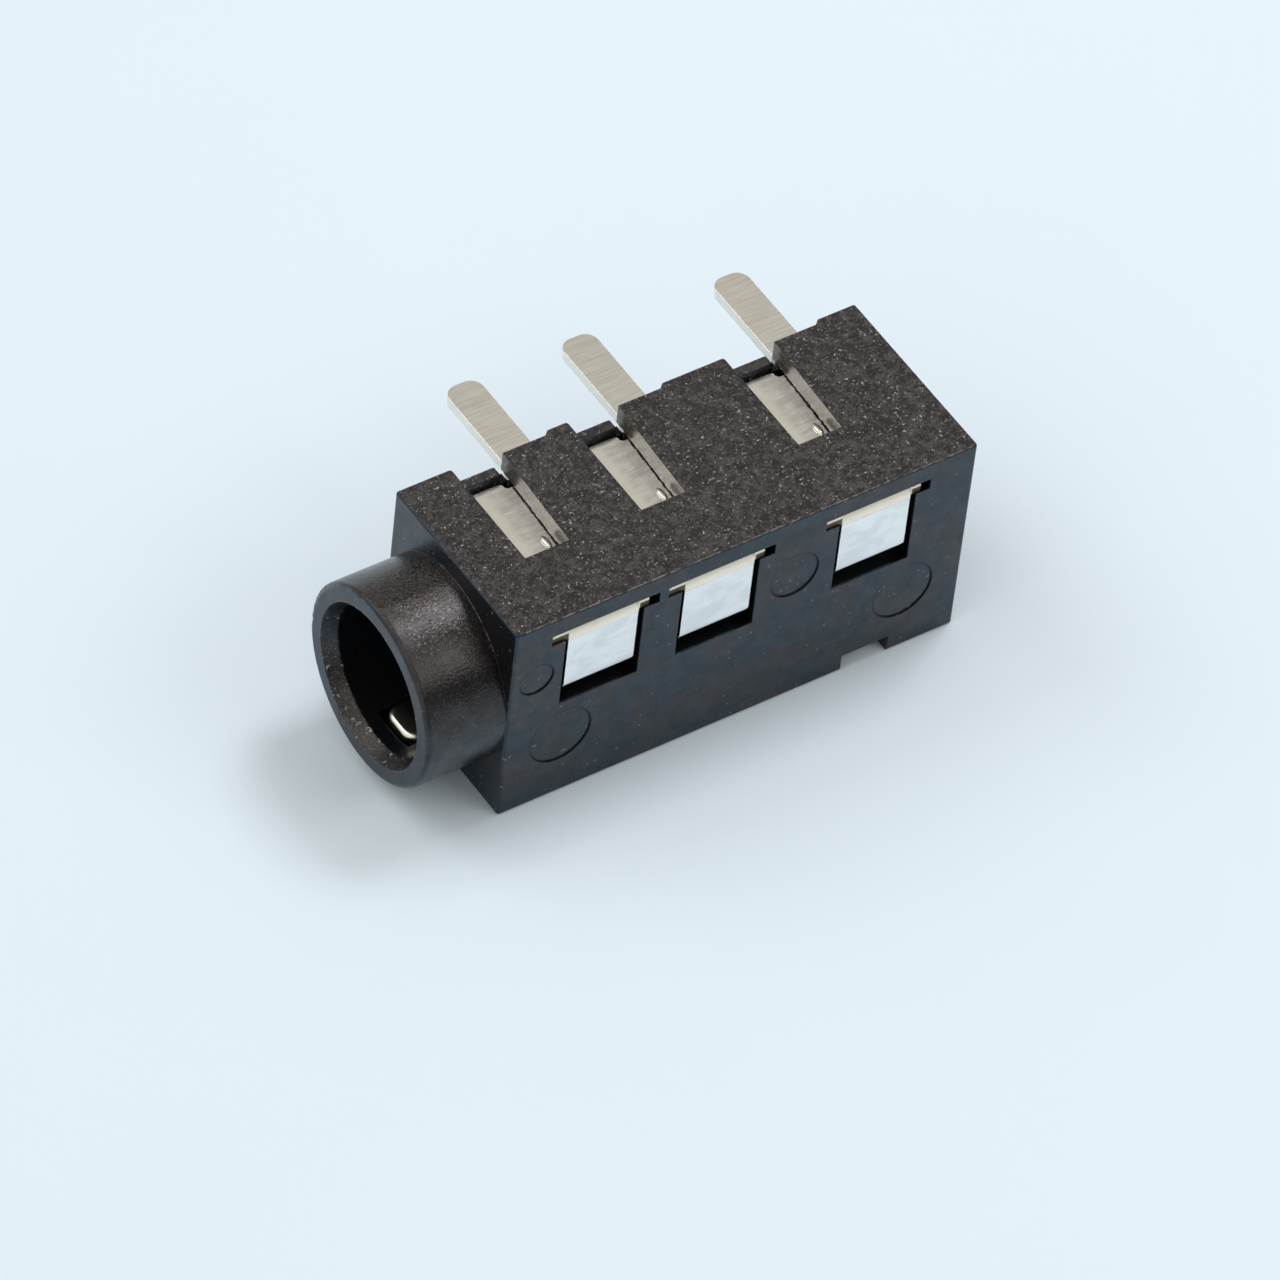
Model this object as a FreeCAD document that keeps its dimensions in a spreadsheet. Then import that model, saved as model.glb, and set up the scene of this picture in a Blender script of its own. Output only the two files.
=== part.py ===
import FreeCAD, Part
import math
import os
import Sketcher

# Audio jack socket for a circuit board, lying on its plain side, in millimetres.
# X runs from the mouth of the plug bore to the rear, along the bore's axis.
# +Y points at the circuit board: the solder pins leave on that side, the windows are on the other.
# +Z points at the textured side, in whose slots the legs of three contacts show.
# The origin is where that axis meets the front of the body, at the barrel's root.

SIZES = (
    ("barrel_length", 2.0, "barrel, from the mouth to the front of the body"),
    ("barrel_diameter", 4.8, "outside of the barrel"),
    ("mouth_round", 0.12, "round on the outer edge of the mouth"),
    ("bore_diameter", 3.6, "hole for a 3.5 mm plug"),
    ("lead_in_diameter", 3.92, "wide end of the lead-in at the mouth"),
    ("lead_in_depth", 0.35, "depth of the lead-in"),
    ("guide_length", 3.0, "round part of the bore, from the mouth to the square chamber"),
    ("chamber_round", 0.5, "round in the corners of the square chamber"),
    ("body_length", 12.0, "body, without the barrel"),
    ("body_width", 4.9, "from the window face to the board face"),
    ("body_height", 5.75, "from the plain side to the textured side"),
    ("edge_round", 0.07, "round on the edges of the body"),
    ("window_setback", 2.34, "first window's centre behind the front of the body"),
    ("window_pitch", 3.0, "first to second window"),
    ("tip_pitch", 4.1, "second to third window"),
    ("window_width", 2.02, "window, along the bore"),
    ("window_height", 2.32, "window, across the bore"),
    ("window_depth", 1.85, "depth of the chamber behind a window"),
    ("skin", 0.51, "wall over the contacts, under the textured side"),
    ("ear_notch_width", 2.74, "notch for the ears, along the bore"),
    ("ear_notch_depth", 1.2, "notch for the ears, into the body"),
    ("sheet", 0.25, "thickness of the contact strip"),
    ("seat_clearance", 0.05, "room over a contact strip in its channel"),
    ("side_clearance", 0.03, "room beside a contact strip in its channel"),
    ("slot_reach", 0.936, "slot, from the window's centre towards the barrel"),
    ("slot_rear_wide", 0.35, "slot, from the window's centre to the rear, at the board face"),
    ("slot_rear_narrow", 0.2, "slot, from the window's centre to the rear, at its closed end"),
    ("slot_setback", 1.87, "closed end of a slot behind the window face"),
    ("bridge_sink", 0.35, "top of the bridge below the textured side"),
    ("bridge_wall", 0.25, "thickness of the bridge"),
    ("bridge_reach", 0.17, "bridge's free end, from the window's centre to the rear"),
    ("bridge_round", 0.1, "round on the bridge's free end"),
    ("recess_depth", 0.15, "recess in the board face around a pin"),
    ("recess_drop", 1.4, "recess, from the textured side down"),
    ("recess_reach", 1.43, "recess, from the window's centre to the rear"),
    ("recess_ramp", 0.16, "sloped end of a recess"),
    ("standoff_round", 0.12, "round on the corner where a recess begins"),
    ("flap_width", 1.8, "flap and spring of a contact"),
    ("flap_inset", 0.05, "flap behind the window face"),
    ("bend_radius", 0.3, "outside of the bend between leg and flap"),
    ("flap_drop", 1.69, "from the top of the leg to the start of the curl"),
    ("curl_radius", 0.45, "outside of the curl"),
    ("curl_turn", 200.0, "turn of the curl in degrees"),
    ("spring_end", 0.5, "straight end of the spring after the curl"),
    ("ear_reach_front", 1.35, "ear on the barrel's side, from the window's centre"),
    ("ear_reach_rear", 1.15, "ear on the rear side, from the window's centre"),
    ("ear_inset", 0.05, "ears behind the window face"),
    ("ear_length", 1.15, "ears, into the body"),
    ("ear_rim_round", 0.1, "round on the upper rim of the ears"),
    ("leg_reach", 0.91, "leg, from the window's centre towards the barrel"),
    ("leg_end", 0.48, "end of the leg plate inside the board face"),
    ("leg_step", 0.2, "step in the end of the leg plate"),
    ("leg_step_reach", 0.02, "start of the step, from the window's centre to the rear"),
    ("neck_reach", 0.325, "neck of the pin, from the window's centre to the rear"),
    ("pin_offset", 0.93, "pin's centre behind the window's centre"),
    ("tip_pin_offset", 0.84, "the same for the tip contact"),
    ("pin_width", 0.88, "solder pin"),
    ("pin_length", 2.51, "solder pin, beyond the board face"),
    ("pin_round", 0.32, "round on the corners of a pin's end"),
    ("rib_half_length", 0.2, "pressed rib on a leg, half of its length across the bore"),
    ("rib_half_width", 0.08, "half of the rib's width"),
    ("rib_height", 0.05, "height of the rib"),
    ("rib_reach", 0.04, "rib, from the window's centre to the rear"),
    ("rib_setback", 2.48, "rib behind the window face"),
    ("flap_corner", 0.18, "round corner where the flap narrows to the spring, on the rear side"),
    ("flap_corner_drop", 1.76, "start of that corner, below the top of the leg"),
    ("exit_drop", 0.1, "pin exit, below the pin"),
    ("sill_reach", 0.35, "sill beside the pin's neck, from the window's centre to the rear"),
    ("sill_drop", 0.1, "sill below the top of the leg"),
    ("leaf_width", 1.1, "leaf of the sleeve contact"),
    ("leaf_offset", -0.05, "leaf's middle towards the board face"),
    ("leaf_clearance", 0.08, "room beside the leaf in its groove"),
    ("leaf_tip_setback", 0.82, "end of the leaf behind the mouth"),
    ("leaf_tip_drop", 0.03, "end of the leaf below its crest"),
    ("leaf_tip_round", 0.34, "round on the corners of the leaf's end"),
    ("leaf_rim_round", 0.11, "round on the upper rim of the leaf's end"),
    ("leaf_crest_setback", 0.38, "crest of the leaf behind its end"),
    ("leaf_crest_reach", 0.21, "crest of the leaf above the floor of the bore"),
    ("leaf_rise_start", 5.0, "where the leaf begins to rise, behind the mouth"),
    ("leaf_groove_start", 0.72, "end of the leaf's groove behind the mouth"),
    ("leaf_groove_depth", 0.3, "groove in the barrel, below the floor of the bore"),
    ("leaf_slot_start", 1.0, "open slot under the leaf, behind the front of the body"),
    ("root_front", 9.05, "root plate of the leaf, behind the front of the body"),
    ("root_window_side", 1.4, "root plate, from the bore's axis towards the window face"),
    ("sleeve_pin_setback", 11.3, "sleeve pin's centre behind the front of the body"),
    ("channel_front", 9.0, "channel in the underside, behind the front of the body"),
    ("channel_width", 1.24, "channel in the underside, along the bore"),
    ("channel_height", 0.473, "channel in the underside"),
    ("peg_diameter", 1.1, "locating peg"),
    ("peg_length", 1.0, "locating peg, beyond the board face"),
    ("peg_chamfer", 0.2, "chamfer on a locating peg"),
    ("peg_setback", 1.6, "first peg behind the front of the body"),
    ("peg_pitch", 7.0, "first to second peg"),
    ("mark_depth", 0.03, "depth of an ejector-pin mark"),
    ("mark_radius_low", 0.78, "low ejector-pin marks"),
    ("mark_radius_middle", 0.62, "middle ejector-pin mark"),
    ("mark_radius_front", 0.43, "front ejector-pin mark"),
    ("mark_drop_low", 3.893, "low marks below the textured side"),
    ("mark_drop_middle", 1.83, "middle mark below the textured side"),
    ("mark_drop_front", 1.71, "front mark below the textured side"),
    ("mark_low_first", 1.47, "first low mark behind the front of the body"),
    ("mark_low_second", 10.45, "second low mark behind the front of the body"),
    ("mark_middle", 7.37, "middle mark behind the front of the body"),
    ("mark_front", 0.67, "front mark behind the front of the body"),
)
CUT_PAST = 0.5

document = FreeCAD.newDocument("audio_jack_socket")
sheet = document.addObject("Spreadsheet::Sheet", "Sizes")
for row, (alias, value, meaning) in enumerate(SIZES, start=1):
    sheet.set(f"A{row}", alias)
    sheet.set(f"B{row}", str(value))
    sheet.setAlias(f"B{row}", alias)
    sheet.set(f"C{row}", meaning)
document.recompute()


class Size:
    """A size that knows its number and the formula that gives it from the spreadsheet."""

    def __init__(self, number, formula):
        self.number = number
        self.formula = formula

    def __add__(self, other):
        other = as_size(other)
        return Size(self.number + other.number, f"({self.formula} + {other.formula})")

    def __sub__(self, other):
        other = as_size(other)
        return Size(self.number - other.number, f"({self.formula} - {other.formula})")

    def __mul__(self, other):
        other = as_size(other)
        return Size(self.number * other.number, f"({self.formula} * {other.formula})")

    def __truediv__(self, other):
        other = as_size(other)
        return Size(self.number / other.number, f"({self.formula} / {other.formula})")

    def __neg__(self):
        return Size(-self.number, f"(0 - {self.formula})")


def as_size(value):
    return value if isinstance(value, Size) else Size(float(value), f"{float(value)}")


def size(alias):
    return Size(float(sheet.get(alias)), f"Sizes.{alias}")


def sine(angle):
    return Size(math.sin(math.radians(angle.number)), f"sin({angle.formula} * 1 deg)")


def cosine(angle):
    return Size(math.cos(math.radians(angle.number)), f"cos({angle.formula} * 1 deg)")


def bind(thing, formulas):
    for path, value in formulas.items():
        thing.setExpression(path, as_size(value).formula)


# Places that several pieces share.
half_width = size("body_width") / 2
half_height = size("body_height") / 2
bore_radius = size("bore_diameter") / 2
barrel_radius = size("barrel_diameter") / 2
mouth = -size("barrel_length")
body_rear = size("body_length")
skin_under = half_height - size("skin")
leg_top = skin_under - size("seat_clearance")
leg_under = leg_top - size("sheet")
window_centres = (
    size("window_setback"),
    size("window_setback") + size("window_pitch"),
    size("window_setback") + size("window_pitch") + size("tip_pitch"),
)
pin_offsets = (size("pin_offset"), size("pin_offset"), size("tip_pin_offset"))
peg_centres = (size("peg_setback"), size("peg_setback") + size("peg_pitch"))


def new_body(label):
    body = document.addObject("PartDesign::Body", label)
    body.Label = label
    return body


def origin_plane(body, role):
    for feature in body.Origin.OriginFeatures:
        if feature.Role == role:
            return feature
    raise ValueError(role)


class Arc:
    """An arc to the next corner of an outline, about a centre, turning left or right."""

    def __init__(self, across, up, radius, turns_left=True):
        self.across = as_size(across)
        self.up = as_size(up)
        self.radius = as_size(radius)
        self.turns_left = turns_left


def locate(sketch, edge, end, across, up):
    """Holds one end of an edge at its distances from the sketch's origin."""
    for kind, axis, value in (("DistanceX", -2, across), ("DistanceY", -1, up)):
        if value.number == 0:
            sketch.addConstraint(Sketcher.Constraint("PointOnObject", edge, end, axis))
            continue
        index = sketch.addConstraint(Sketcher.Constraint(kind, -1, 1, edge, end, value.number))
        sketch.setExpression(f"Constraints[{index}]", value.formula)


def closed_sketch(body, name, role, path, offset=None):
    """Closed outline on an origin plane. The path alternates corners, as (across, up), with optional
    arcs, and an arc joins the corner before it to the corner after it."""
    sketch = body.newObject("Sketcher::SketchObject", name)
    sketch.AttachmentSupport = (origin_plane(body, role), [""])
    sketch.MapMode = "FlatFace"
    if offset is not None:
        bind(sketch, {"AttachmentOffset.Base.z": offset})
    corners = []
    arcs = {}
    for step in path:
        if isinstance(step, Arc):
            arcs[len(corners) - 1] = step
        else:
            corners.append((as_size(step[0]), as_size(step[1])))
    ends = []
    for index, (across, up) in enumerate(corners):
        next_across, next_up = corners[(index + 1) % len(corners)]
        start = FreeCAD.Vector(across.number, up.number, 0)
        finish = FreeCAD.Vector(next_across.number, next_up.number, 0)
        arc = arcs.get(index)
        if arc is None:
            edge = sketch.addGeometry(Part.LineSegment(start, finish))
            ends.append((edge, 1, 2))
            continue
        centre = FreeCAD.Vector(arc.across.number, arc.up.number, 0)
        angles = [math.atan2(point.y - centre.y, point.x - centre.x) for point in (start, finish)]
        if not arc.turns_left:
            angles.reverse()
        circle = Part.Circle(centre, FreeCAD.Vector(0, 0, 1), arc.radius.number)
        edge = sketch.addGeometry(Part.ArcOfCircle(circle, angles[0], angles[1]))
        ends.append((edge, 1, 2) if arc.turns_left else (edge, 2, 1))
        index = sketch.addConstraint(Sketcher.Constraint("Radius", edge, arc.radius.number))
        sketch.setExpression(f"Constraints[{index}]", arc.radius.formula)
    for index, (edge, first, last) in enumerate(ends):
        next_edge, next_first, _ = ends[(index + 1) % len(ends)]
        sketch.addConstraint(Sketcher.Constraint("Coincident", edge, last, next_edge, next_first))
        locate(sketch, edge, first, *corners[index])
    return sketch


def pad(body, name, sketch, length, symmetric=False):
    feature = body.newObject("PartDesign::Pad", name)
    feature.Profile = sketch
    feature.SideType = "Symmetric" if symmetric else "One side"
    bind(feature, {"Length": length})
    return feature


def block(body, name, kind, low, high):
    """Adds or cuts a box between two corners."""
    box = body.newObject(f"PartDesign::{kind}Box", name)
    spans = [as_size(top) - bottom for bottom, top in zip(low, high)]
    bind(box, dict(zip(("Length", "Width", "Height"), spans)))
    bind(box, dict(zip(("Placement.Base.x", "Placement.Base.y", "Placement.Base.z"), low)))
    return box


def round_edges(body, name, base, radius, wanted):
    """Rounds the edges of a feature for which wanted(edge) is true."""
    document.recompute()
    names = [f"Edge{index}" for index, edge in enumerate(base.Shape.Edges, start=1) if wanted(edge)]
    fillet = body.newObject("PartDesign::Fillet", name)
    fillet.Base = (base, names)
    bind(fillet, {"Radius": radius})
    return fillet


def near(value, target):
    return abs(value - target.number) < 1e-4


# Housing


def housing_block(housing):
    outline = closed_sketch(housing, "block_outline", "XY_Plane", [
        (0, -half_width),
        (body_rear, -half_width),
        (body_rear, half_width),
        (0, half_width),
    ])
    body_block = pad(housing, "body_block", outline, size("body_height"), symmetric=True)
    round_edges(housing, "block_edges", body_block, size("edge_round"), lambda edge: True)


def housing_barrel(housing):
    """Barrel turned about the bore's axis, with a rounded mouth and its foot inside the body."""
    mouth_round = size("mouth_round")
    foot = size("edge_round") * 2
    profile = closed_sketch(housing, "barrel_profile", "XZ_Plane", [
        (mouth, 0),
        (mouth, barrel_radius - mouth_round),
        Arc(mouth + mouth_round, barrel_radius - mouth_round, mouth_round, turns_left=False),
        (mouth + mouth_round, barrel_radius),
        (foot, barrel_radius),
        (foot, 0),
    ])
    barrel = housing.newObject("PartDesign::Revolution", "barrel")
    barrel.Profile = profile
    barrel.ReferenceAxis = (profile, ["H_Axis"])
    barrel.Angle = 360


def housing_bore(housing):
    """Round plug bore with its lead-in, and behind it a square chamber out through the rear."""
    lead_in_radius = size("lead_in_diameter") / 2
    guide_end = mouth + size("guide_length")
    profile = closed_sketch(housing, "bore_profile", "XZ_Plane", [
        (mouth - CUT_PAST, 0),
        (mouth - CUT_PAST, lead_in_radius),
        (mouth, lead_in_radius),
        (mouth + size("lead_in_depth"), bore_radius),
        (guide_end, bore_radius),
        (guide_end, 0),
    ])
    bore = housing.newObject("PartDesign::Groove", "plug_bore")
    bore.Profile = profile
    bore.ReferenceAxis = (profile, ["H_Axis"])
    bore.Angle = 360
    corner = size("chamber_round")
    inner = bore_radius - corner
    section = closed_sketch(housing, "chamber_section", "YZ_Plane", [
        (-inner, -bore_radius),
        (inner, -bore_radius),
        Arc(inner, -inner, corner),
        (bore_radius, -inner),
        (bore_radius, inner),
        Arc(inner, inner, corner),
        (inner, bore_radius),
        (-inner, bore_radius),
        Arc(-inner, inner, corner),
        (-bore_radius, inner),
        (-bore_radius, -inner),
        Arc(-inner, -inner, corner),
    ], offset=guide_end)
    chamber = housing.newObject("PartDesign::Pocket", "plug_chamber")
    chamber.Profile = section
    chamber.Reversed = True
    bind(chamber, {"Length": body_rear - guide_end + CUT_PAST})


def housing_contact_seat(housing, label, centre, pin_offset):
    """Everything that the moulding has for one folded contact."""
    window_face = -half_width
    board_face = half_width
    half_window = size("window_width") / 2
    half_notch = size("ear_notch_width") / 2
    pin_edge = centre + pin_offset + size("pin_width") / 2 + size("side_clearance")
    leg_edge = centre - size("leg_reach") - size("side_clearance")
    leg_stop = board_face - size("leg_end") + size("side_clearance")
    recess_face = board_face - size("recess_depth")
    recess_floor = half_height - size("recess_drop")
    slot_front = centre - size("slot_reach")
    standoff_round = size("standoff_round")
    block(housing, f"{label}_window", "Subtractive",
          (centre - half_window, window_face - CUT_PAST, skin_under - size("window_height")),
          (centre + half_window, window_face + size("window_depth"), skin_under))
    block(housing, f"{label}_ear_notch", "Subtractive",
          (centre - half_notch, window_face - CUT_PAST, leg_under),
          (centre + half_notch, window_face + size("ear_notch_depth"), skin_under))
    block(housing, f"{label}_leg_channel", "Subtractive",
          (leg_edge, window_face - CUT_PAST, leg_under),
          (pin_edge, leg_stop, skin_under))
    block(housing, f"{label}_pin_exit", "Subtractive",
          (centre + size("bridge_reach"), leg_stop - size("leg_step"), leg_under - size("exit_drop")),
          (pin_edge, board_face + CUT_PAST, skin_under))
    slot = housing.newObject("PartDesign::SubtractiveWedge", f"{label}_slot")
    slot_end = window_face + size("slot_setback")
    bind(slot, {
        "Xmin": slot_front, "Xmax": centre + size("slot_rear_narrow"),
        "X2min": slot_front, "X2max": centre + size("slot_rear_wide"),
        "Ymin": slot_end, "Ymax": board_face + CUT_PAST,
        "Zmin": leg_under, "Zmax": half_height + CUT_PAST,
        "Z2min": leg_under, "Z2max": half_height + CUT_PAST,
    })
    recess = closed_sketch(housing, f"{label}_recess_outline", "XY_Plane", [
        (slot_front, recess_face),
        (centre + size("recess_reach"), recess_face),
        (centre + size("recess_reach") + size("recess_ramp"), board_face),
        (centre + size("recess_reach") + size("recess_ramp"), board_face + CUT_PAST),
        (slot_front - standoff_round, board_face + CUT_PAST),
        (slot_front - standoff_round, board_face),
        Arc(slot_front - standoff_round, board_face - standoff_round, standoff_round, turns_left=False),
        (slot_front, board_face - standoff_round),
    ], offset=recess_floor)
    cut = housing.newObject("PartDesign::Pocket", f"{label}_recess")
    cut.Profile = recess
    cut.Reversed = True
    bind(cut, {"Length": size("recess_drop") + CUT_PAST})
    bridge = block(housing, f"{label}_bridge", "Additive",
                   (slot_front - size("side_clearance"), recess_face - size("bridge_wall"),
                    leg_under - size("exit_drop")),
                   (centre + size("bridge_reach"), recess_face, half_height - size("bridge_sink")))
    free_end = centre + size("bridge_reach")
    bridge_top = half_height - size("bridge_sink")
    round_edges(housing, f"{label}_bridge_end", bridge, size("bridge_round"),
                lambda edge: near(edge.CenterOfMass.x, free_end) and near(edge.CenterOfMass.z, bridge_top))
    block(housing, f"{label}_sill", "Additive",
          (free_end - size("side_clearance"), recess_face - size("bridge_wall"),
           leg_under - size("exit_drop")),
          (centre + size("sill_reach"), recess_face, leg_top - size("sill_drop")))


def housing_sleeve_seat(housing):
    """Groove in the bore's floor for the leaf, and the pocket for its root, open to the underside."""
    underside = -half_height - CUT_PAST
    groove_low = size("leaf_offset") - size("leaf_width") / 2 - size("leaf_clearance")
    groove_high = size("leaf_offset") + size("leaf_width") / 2 + size("leaf_clearance")
    root_front = size("root_front") - size("side_clearance")
    pin_front = size("sleeve_pin_setback") - size("pin_width") / 2 - size("side_clearance")
    pin_rear = size("sleeve_pin_setback") + size("pin_width") / 2 + size("side_clearance")
    channel_front = size("channel_front")
    block(housing, "leaf_groove", "Subtractive",
          (mouth + size("leaf_groove_start"), groove_low, -bore_radius - size("leaf_groove_depth")),
          (root_front, groove_high, 0))
    block(housing, "leaf_slot", "Subtractive",
          (size("leaf_slot_start"), groove_low, underside),
          (root_front + size("sheet"), groove_high, -bore_radius))
    block(housing, "root_pocket", "Subtractive",
          (root_front, -size("root_window_side") - size("side_clearance"), underside),
          (pin_rear, half_width - size("leg_end") + size("side_clearance"), -leg_under))
    block(housing, "sleeve_pin_exit", "Subtractive",
          (pin_front, 0, underside),
          (pin_rear, half_width + CUT_PAST, -leg_under + size("exit_drop")))
    block(housing, "underside_channel", "Subtractive",
          (channel_front, -half_width - CUT_PAST, underside),
          (channel_front + size("channel_width"), 0, -half_height + size("channel_height")))


def housing_pegs(housing):
    """Two locating pegs on the board face, turned from chamfered profiles."""
    peg_radius = size("peg_diameter") / 2
    peg_end = half_width + size("peg_length")
    for index, centre in enumerate(peg_centres, start=1):
        profile = closed_sketch(housing, f"peg_profile_{index}", "XY_Plane", [
            (centre, half_width - size("edge_round")),
            (centre + peg_radius, half_width - size("edge_round")),
            (centre + peg_radius, peg_end - size("peg_chamfer")),
            (centre + peg_radius - size("peg_chamfer"), peg_end),
            (centre, peg_end),
        ])
        peg = housing.newObject("PartDesign::Revolution", f"peg_{index}")
        peg.Profile = profile
        peg.ReferenceAxis = (profile, ["Edge5"])
        peg.Angle = 360


def housing_marks(housing):
    """Round marks that the ejector pins left on the window face."""
    marks = (
        ("low_first", size("mark_low_first"), size("mark_drop_low"), size("mark_radius_low")),
        ("low_second", size("mark_low_second"), size("mark_drop_low"), size("mark_radius_low")),
        ("middle", size("mark_middle"), size("mark_drop_middle"), size("mark_radius_middle")),
        ("front", size("mark_front"), size("mark_drop_front"), size("mark_radius_front")),
    )
    for label, setback, drop, radius in marks:
        mark = housing.newObject("PartDesign::SubtractiveCylinder", f"mark_{label}")
        mark.Placement.Rotation = FreeCAD.Rotation(FreeCAD.Vector(1, 0, 0), 90)
        bind(mark, {
            "Radius": radius,
            "Height": CUT_PAST,
            "Placement.Base.x": setback,
            "Placement.Base.y": -half_width + size("mark_depth"),
            "Placement.Base.z": half_height - drop,
        })


def make_housing(labels):
    housing = new_body("housing")
    housing_block(housing)
    housing_barrel(housing)
    housing_pegs(housing)
    housing_bore(housing)
    for label, centre, pin_offset in zip(labels, window_centres, pin_offsets):
        housing_contact_seat(housing, label, centre, pin_offset)
    housing_sleeve_seat(housing)
    housing_marks(housing)
    return housing


# Folded contacts


def pin_end(centre):
    """Outline of a solder pin's end, from its rear side round to its front side."""
    corner = size("pin_round")
    front = centre - size("pin_width") / 2
    rear = centre + size("pin_width") / 2
    tip = half_width + size("pin_length")
    return [
        (rear, tip - corner),
        Arc(rear - corner, tip - corner, corner),
        (rear - corner, tip),
        (front + corner, tip),
        Arc(front + corner, tip - corner, corner),
        (front, tip - corner),
    ]


def leg_outline(body, pin_offset):
    """Flat blank of a leg with its ears and its pin, with X measured from the window's centre."""
    window_face = -half_width
    board_face = half_width
    ear_front = window_face + size("ear_inset")
    ear_rear = ear_front + size("ear_length")
    half_flap = size("flap_width") / 2
    fold = window_face + size("flap_inset") + size("bend_radius")
    leg_end = board_face - size("leg_end")
    step = size("leg_step") / 2
    step_start = size("leg_step_reach")
    step_floor = leg_end - size("leg_step")
    pin_low = pin_offset - size("pin_width") / 2
    pin_high = pin_offset + size("pin_width") / 2
    return closed_sketch(body, "leg_outline", "XY_Plane", [
        (-size("ear_reach_front"), ear_front),
        (-half_flap, ear_front),
        (-half_flap, fold),
        (half_flap, fold),
        (half_flap, ear_front),
        (size("ear_reach_rear"), ear_front),
        (size("ear_reach_rear"), ear_rear),
        (pin_high, ear_rear),
        *pin_end(pin_offset),
        (pin_low, board_face),
        (size("neck_reach"), step_floor),
        (step_start + size("leg_step"), step_floor),
        Arc(step_start + size("leg_step"), step_floor + step, step, turns_left=False),
        (step_start + step, leg_end - step),
        Arc(step_start, leg_end - step, step),
        (step_start, leg_end),
        (-size("leg_reach"), leg_end),
        (-size("leg_reach"), ear_rear),
        (-size("ear_reach_front"), ear_rear),
    ], offset=leg_under)


def fold_profile(body):
    """Section of the fold, the flap and the curled spring, seen along the bore."""
    sheet_thickness = size("sheet")
    outer_bend = size("bend_radius")
    inner_bend = outer_bend - sheet_thickness
    outer_curl = size("curl_radius")
    inner_curl = outer_curl - sheet_thickness
    flap_face = -half_width + size("flap_inset")
    flap_back = flap_face + sheet_thickness
    bend_centre = (flap_face + outer_bend, leg_top - outer_bend)
    curl_centre = (flap_face + outer_curl, leg_top - size("flap_drop"))
    end_angle = size("curl_turn") - 180
    along = (-sine(end_angle), cosine(end_angle))

    def curl_end(radius, run):
        across = curl_centre[0] + cosine(end_angle) * radius + along[0] * run
        up = curl_centre[1] + sine(end_angle) * radius + along[1] * run
        return across, up

    overlap = bend_centre[0] + outer_bend
    return closed_sketch(body, "fold_profile", "YZ_Plane", [
        (overlap, leg_top),
        (bend_centre[0], leg_top),
        Arc(*bend_centre, outer_bend),
        (flap_face, bend_centre[1]),
        (flap_face, curl_centre[1]),
        Arc(*curl_centre, outer_curl),
        (curl_centre[0], curl_centre[1] - outer_curl),
        Arc(*curl_centre, outer_curl),
        curl_end(outer_curl, 0),
        curl_end(outer_curl, size("spring_end")),
        curl_end(inner_curl, size("spring_end")),
        curl_end(inner_curl, 0),
        Arc(*curl_centre, inner_curl, turns_left=False),
        (curl_centre[0], curl_centre[1] - inner_curl),
        Arc(*curl_centre, inner_curl, turns_left=False),
        (flap_back, curl_centre[1]),
        (flap_back, bend_centre[1]),
        Arc(*bend_centre, inner_bend, turns_left=False),
        (bend_centre[0], leg_under),
        (overlap, leg_under),
    ])


def narrow_spring(body):
    """Takes the spring's rear edge in, below a round corner of the flap."""
    half_flap = size("flap_width") / 2
    corner = size("flap_corner")
    corner_start = leg_top - size("flap_corner_drop")
    below = leg_top - size("flap_drop") - size("curl_radius") - CUT_PAST
    outline = closed_sketch(body, "spring_side", "XZ_Plane", [
        (half_flap, corner_start),
        Arc(half_flap - corner, corner_start, corner, turns_left=False),
        (half_flap - corner, corner_start - corner),
        (half_flap - corner, below),
        (half_flap + CUT_PAST, below),
        (half_flap + CUT_PAST, corner_start),
    ], offset=half_width + CUT_PAST)
    cut = body.newObject("PartDesign::Pocket", "spring_side_cut")
    cut.Profile = outline
    bind(cut, {"Length": size("body_width")})


def pressed_rib(body):
    """Short rounded rib pressed up in the leg."""
    rib = body.newObject("PartDesign::AdditiveEllipsoid", "rib")
    bind(rib, {
        "Radius1": size("rib_height"),
        "Radius2": size("rib_half_width"),
        "Radius3": size("rib_half_length"),
        "Placement.Base.x": size("rib_reach"),
        "Placement.Base.y": -half_width + size("rib_setback"),
        "Placement.Base.z": leg_top,
    })


def make_folded_contact(label, centre, pin_offset):
    contact = new_body(label)
    leg = pad(contact, "leg", leg_outline(contact, pin_offset), size("sheet"))
    ear_front = -half_width + size("ear_inset")
    round_edges(contact, "ear_rims", leg, size("ear_rim_round"),
                lambda edge: near(edge.BoundBox.YMax, ear_front) and near(edge.BoundBox.ZMin, leg_top))
    pad(contact, "flap_and_spring", fold_profile(contact), size("flap_width"), symmetric=True)
    narrow_spring(contact)
    pressed_rib(contact)
    bind(contact, {"Placement.Base.x": centre})
    return contact


# Sleeve contact


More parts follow.
